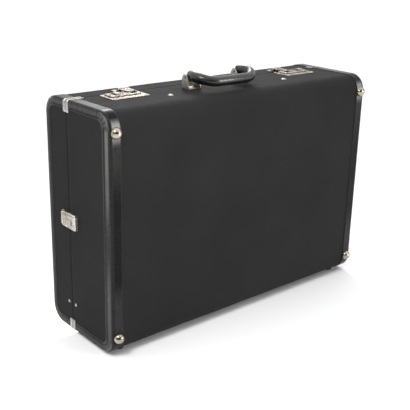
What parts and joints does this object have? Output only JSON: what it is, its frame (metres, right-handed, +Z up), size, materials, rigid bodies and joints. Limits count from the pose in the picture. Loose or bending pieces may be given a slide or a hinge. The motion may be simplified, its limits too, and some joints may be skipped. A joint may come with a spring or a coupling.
{
  "type": "hard suitcase",
  "caption": "Hard shell suitcase standing upright: cloth covered shells with leather bindings, folding handle, top latches, side locks and a hinged lid.",
  "frame": {"origin": "middle of the bounding box's base, on the floor plane under the feet", "axes": "+Z up, +X along the length, -Y out of the base shell's large front face, +Y out of the lid"},
  "size_m": [0.5888, 0.1929, 0.4306],
  "materials": {
    "cloth": "fine coated cloth, matt",
    "binding_leather": "worn black leather, satin",
    "board": "plywood, bare",
    "lip_board": "cloth covered board",
    "lining": "plain weave lining",
    "grip_leather": "stitched leather, satin",
    "clip_metal": "nickel plated, worn",
    "stud_metal": "nickel plated, worn",
    "feet_rubber": "black rubber glides",
    "lock_metal": "nickel plated, worn",
    "handle_metal": "nickel plated, worn",
    "steel": "plated steel"
  },
  "bodies": {
    "base": {"base_binding_left": "binding_leather", "base_binding_right": "binding_leather", "base_cover": "cloth", "base_edge_clips": "clip_metal", "base_end_board_left": "board", "base_end_board_right": "board", "base_feet": "feet_rubber", "base_hardware_rivets": "steel", "base_lining": "lining", "base_lip": "lip_board", "base_wrap_board": "board", "front_nails": "stud_metal", "handle_backing_plate": "handle_metal", "handle_clevis_rivets": "handle_metal", "handle_clevises": "handle_metal", "handle_pins": "handle_metal", "hinge_base_leaves": "steel", "hinge_pins": "steel", "latch_left_housing": "lock_metal", "latch_left_plate": "lock_metal", "latch_right_housing": "lock_metal", "latch_right_plate": "lock_metal", "side_lock_left_case": "lock_metal", "side_lock_right_case": "lock_metal", "stay_base_rivets": "steel", "top_rivets": "handle_metal"},
    "lid": {"hasp_pins": "lock_metal", "hinge_lid_leaves": "steel", "latch_left_hasp_plate": "lock_metal", "latch_right_hasp_plate": "lock_metal", "lid_binding_left": "binding_leather", "lid_binding_right": "binding_leather", "lid_cover": "cloth", "lid_edge_clips": "clip_metal", "lid_end_board_left": "board", "lid_end_board_right": "board", "lid_feet": "feet_rubber", "lid_hardware_rivets": "steel", "lid_lining": "lining", "lid_wrap_board": "board", "side_hasp_left_plate": "lock_metal", "side_hasp_right_plate": "lock_metal", "stay_lid_rivets": "steel"},
    "handle": {"handle_core": "handle_metal", "handle_grip": "grip_leather"},
    "latch_right_hasp_body": {"latch_right_hasp": "lock_metal"},
    "latch_right_bolt_body": {"latch_right_bolt": "lock_metal"},
    "latch_left_hasp_body": {"latch_left_hasp": "lock_metal"},
    "latch_left_bolt_body": {"latch_left_bolt": "lock_metal"},
    "side_hasp_left_body": {"side_hasp_left": "lock_metal"},
    "side_lock_left_plug_body": {"side_lock_left_plug": "lock_metal"},
    "side_hasp_right_body": {"side_hasp_right": "lock_metal"},
    "side_lock_right_plug_body": {"side_lock_right_plug": "lock_metal"},
    "stay_right_base_link_body": {"stay_right_base_link": "steel", "stay_right_elbow_rivet": "steel"},
    "stay_right_lid_link_body": {"stay_right_lid_link": "steel"},
    "stay_left_base_link_body": {"stay_left_base_link": "steel", "stay_left_elbow_rivet": "steel"},
    "stay_left_lid_link_body": {"stay_left_lid_link": "steel"}
  },
  "joints": [
    {"name": "lid_hinge", "type": "hinge", "parent": "base", "child": "lid", "pos_m": [0, 0.032, 0.0027], "axis": [-1, 0, 0], "range_deg": [0, 95]},
    {"name": "handle_hinge", "type": "hinge", "parent": "base", "child": "handle", "pos_m": [-0.012, -0.002, 0.4223], "axis": [-1, 0, 0], "range_deg": [0, 180]},
    {"name": "latch_right_hasp_hinge", "type": "hinge", "parent": "lid", "child": "latch_right_hasp_body", "pos_m": [0.178, 0.0375, 0.4052], "axis": [-1, 0, 0], "range_deg": [0, 115]},
    {"name": "latch_right_bolt_slide", "type": "slide", "parent": "base", "child": "latch_right_bolt_body", "axis": [-1, 0, 0], "range_m": [0, 0.0145]},
    {"name": "latch_left_hasp_hinge", "type": "hinge", "parent": "lid", "child": "latch_left_hasp_body", "pos_m": [-0.178, 0.0375, 0.4052], "axis": [-1, 0, 0], "range_deg": [0, 115]},
    {"name": "latch_left_bolt_slide", "type": "slide", "parent": "base", "child": "latch_left_bolt_body", "axis": [1, 0, 0], "range_m": [0, 0.0145]},
    {"name": "side_hasp_left_hinge", "type": "hinge", "parent": "lid", "child": "side_hasp_left_body", "pos_m": [-0.2916, 0.051, 0.2033], "axis": [0, 0, -1], "range_deg": [0, 120]},
    {"name": "side_lock_left_plug_turn", "type": "hinge", "parent": "base", "child": "side_lock_left_plug_body", "pos_m": [-0.2913, 0.0202, 0.201], "axis": [-1, 0, 0], "range_deg": [0, 90]},
    {"name": "side_hasp_right_hinge", "type": "hinge", "parent": "lid", "child": "side_hasp_right_body", "pos_m": [0.2916, 0.051, 0.2033], "axis": [0, 0, 1], "range_deg": [0, 120]},
    {"name": "side_lock_right_plug_turn", "type": "hinge", "parent": "base", "child": "side_lock_right_plug_body", "pos_m": [0.2913, 0.0202, 0.201], "axis": [-1, 0, 0], "range_deg": [0, 90]},
    {"name": "stay_right_base_link_hinge", "type": "hinge", "parent": "base", "child": "stay_right_base_link_body", "pos_m": [0.2796, 0.0217, 0.0537], "axis": [-1, 0, 0], "range_deg": [0, 95]},
    {"name": "stay_right_lid_link_hinge", "type": "hinge", "parent": "lid", "child": "stay_right_lid_link_body", "pos_m": [0.2776, 0.0423, 0.0537], "axis": [1, 0, 0], "range_deg": [0, 95]},
    {"name": "stay_left_base_link_hinge", "type": "hinge", "parent": "base", "child": "stay_left_base_link_body", "pos_m": [-0.2796, 0.0217, 0.0537], "axis": [-1, 0, 0], "range_deg": [0, 95]},
    {"name": "stay_left_lid_link_hinge", "type": "hinge", "parent": "lid", "child": "stay_left_lid_link_body", "pos_m": [-0.2776, 0.0423, 0.0537], "axis": [1, 0, 0], "range_deg": [0, 95]}
  ],
  "couplings": [
    {"joint": "stay_right_base_link_hinge", "follows": "lid_hinge", "ratio": 1},
    {"joint": "stay_right_lid_link_hinge", "follows": "lid_hinge", "ratio": 1},
    {"joint": "stay_left_base_link_hinge", "follows": "lid_hinge", "ratio": 1},
    {"joint": "stay_left_lid_link_hinge", "follows": "lid_hinge", "ratio": 1}
  ]
}
